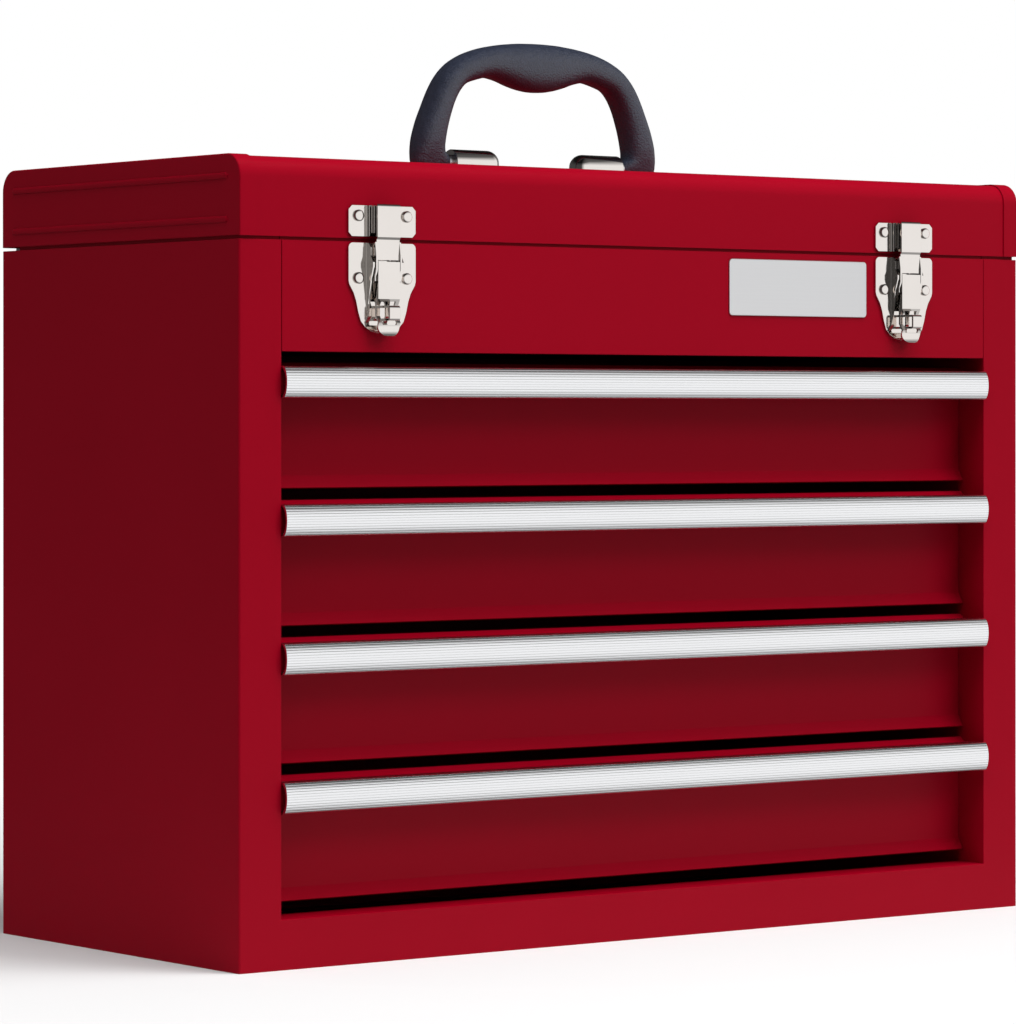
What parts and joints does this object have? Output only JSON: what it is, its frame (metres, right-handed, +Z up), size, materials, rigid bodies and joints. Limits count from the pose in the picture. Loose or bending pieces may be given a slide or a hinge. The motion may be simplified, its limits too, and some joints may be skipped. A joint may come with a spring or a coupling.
{
  "type": "portable tool chest",
  "caption": "Portable sheet steel tool box with ball-slide drawers, a lidded top compartment, draw latches and a folding carrying handle.",
  "frame": {"origin": "centre of the cabinet's underside", "axes": "+Z up, -Y towards the drawer fronts, +X to the right as seen from the front"},
  "size_m": [0.5116, 0.2365, 0.4644],
  "materials": {
    "red_paint": "semi-gloss powder coat",
    "inner_steel": "semi-gloss powder coat",
    "zinc_steel": "satin zinc plate",
    "pull_aluminium": "satin, drawn lengthwise",
    "plate_aluminium": "satin",
    "bright_plating": "bright nickel plate",
    "black_plastic": "grained, moulded"
  },
  "bodies": {
    "cabinet": {"cabinet_shell": "red_paint", "header_panel": "red_paint", "back_panel": "red_paint", "bottom_panel": "red_paint", "compartment_floor": "inner_steel", "left_runner_panel": "inner_steel", "right_runner_panel": "inner_steel", "hinge_cabinet_leaf": "zinc_steel", "hinge_pin": "zinc_steel", "cabinet_slide_members": "zinc_steel", "nameplate": "plate_aluminium", "latch_base_left": "bright_plating", "latch_base_right": "bright_plating", "latch_staple_left": "bright_plating", "latch_staple_right": "bright_plating", "latch_pivot_pins": "bright_plating"},
    "lid": {"lid_cover": "red_paint", "lid_left_cap": "red_paint", "lid_right_cap": "red_paint", "hinge_lid_leaf": "zinc_steel", "latch_strike_left": "bright_plating", "latch_strike_right": "bright_plating", "handle_bracket_left": "bright_plating", "handle_bracket_right": "bright_plating"},
    "handle": {"handle_grip": "black_plastic", "handle_rods": "zinc_steel"},
    "drawer_1": {"drawer_1_tray": "red_paint", "drawer_1_front": "red_paint", "drawer_1_pull": "pull_aluminium", "drawer_1_slide_members": "zinc_steel"},
    "drawer_1_cages": {"drawer_1_ball_cages": "zinc_steel"},
    "drawer_2": {"drawer_2_tray": "red_paint", "drawer_2_front": "red_paint", "drawer_2_pull": "pull_aluminium", "drawer_2_slide_members": "zinc_steel"},
    "drawer_2_cages": {"drawer_2_ball_cages": "zinc_steel"},
    "drawer_3": {"drawer_3_tray": "red_paint", "drawer_3_front": "red_paint", "drawer_3_pull": "pull_aluminium", "drawer_3_slide_members": "zinc_steel"},
    "drawer_3_cages": {"drawer_3_ball_cages": "zinc_steel"},
    "drawer_4": {"drawer_4_tray": "red_paint", "drawer_4_front": "red_paint", "drawer_4_pull": "pull_aluminium", "drawer_4_slide_members": "zinc_steel"},
    "drawer_4_cages": {"drawer_4_ball_cages": "zinc_steel"},
    "latch_lever_left": {"latch_lever_left": "bright_plating"},
    "latch_link_left": {"latch_link_left": "bright_plating", "latch_link_pin_left": "bright_plating"},
    "latch_lever_right": {"latch_lever_right": "bright_plating"},
    "latch_link_right": {"latch_link_right": "bright_plating", "latch_link_pin_right": "bright_plating"}
  },
  "joints": [
    {"name": "lid_hinge", "type": "hinge", "parent": "cabinet", "child": "lid", "pos_m": [0, 0.1124, 0.35345], "axis": [-1, 0, 0], "range_deg": [0, 95]},
    {"name": "handle_swing", "type": "hinge", "parent": "lid", "child": "handle", "pos_m": [0, -0.0093, 0.4001], "axis": [1, 0, 0], "range_deg": [-80, 80]},
    {"name": "drawer_1_slide", "type": "slide", "parent": "cabinet", "child": "drawer_1", "axis": [0, -1, 0], "range_m": [0, 0.14]},
    {"name": "drawer_1_cage_slide", "type": "slide", "parent": "cabinet", "child": "drawer_1_cages", "axis": [0, -1, 0], "range_m": [0, 0.07]},
    {"name": "drawer_2_slide", "type": "slide", "parent": "cabinet", "child": "drawer_2", "axis": [0, -1, 0], "range_m": [0, 0.14]},
    {"name": "drawer_2_cage_slide", "type": "slide", "parent": "cabinet", "child": "drawer_2_cages", "axis": [0, -1, 0], "range_m": [0, 0.07]},
    {"name": "drawer_3_slide", "type": "slide", "parent": "cabinet", "child": "drawer_3", "axis": [0, -1, 0], "range_m": [0, 0.14]},
    {"name": "drawer_3_cage_slide", "type": "slide", "parent": "cabinet", "child": "drawer_3_cages", "axis": [0, -1, 0], "range_m": [0, 0.07]},
    {"name": "drawer_4_slide", "type": "slide", "parent": "cabinet", "child": "drawer_4", "axis": [0, -1, 0], "range_m": [0, 0.14]},
    {"name": "drawer_4_cage_slide", "type": "slide", "parent": "cabinet", "child": "drawer_4_cages", "axis": [0, -1, 0], "range_m": [0, 0.07]},
    {"name": "latch_lever_left", "type": "hinge", "parent": "cabinet", "child": "latch_lever_left", "pos_m": [-0.1715, -0.1137, 0.3415], "axis": [-1, 0, 0], "range_deg": [0, 120]},
    {"name": "latch_link_left", "type": "hinge", "parent": "latch_lever_left", "child": "latch_link_left", "pos_m": [-0.1715, -0.1132, 0.3345], "axis": [-1, 0, 0], "range_deg": [-120, 0]},
    {"name": "latch_lever_right", "type": "hinge", "parent": "cabinet", "child": "latch_lever_right", "pos_m": [0.1715, -0.1137, 0.3415], "axis": [-1, 0, 0], "range_deg": [0, 120]},
    {"name": "latch_link_right", "type": "hinge", "parent": "latch_lever_right", "child": "latch_link_right", "pos_m": [0.1715, -0.1132, 0.3345], "axis": [-1, 0, 0], "range_deg": [-120, 0]}
  ],
  "couplings": [
    {"joint": "drawer_1_cage_slide", "follows": "drawer_1_slide", "ratio": 0.5},
    {"joint": "drawer_2_cage_slide", "follows": "drawer_2_slide", "ratio": 0.5},
    {"joint": "drawer_3_cage_slide", "follows": "drawer_3_slide", "ratio": 0.5},
    {"joint": "drawer_4_cage_slide", "follows": "drawer_4_slide", "ratio": 0.5},
    {"joint": "latch_link_left", "follows": "latch_lever_left", "ratio": -1},
    {"joint": "latch_link_right", "follows": "latch_lever_right", "ratio": -1}
  ]
}
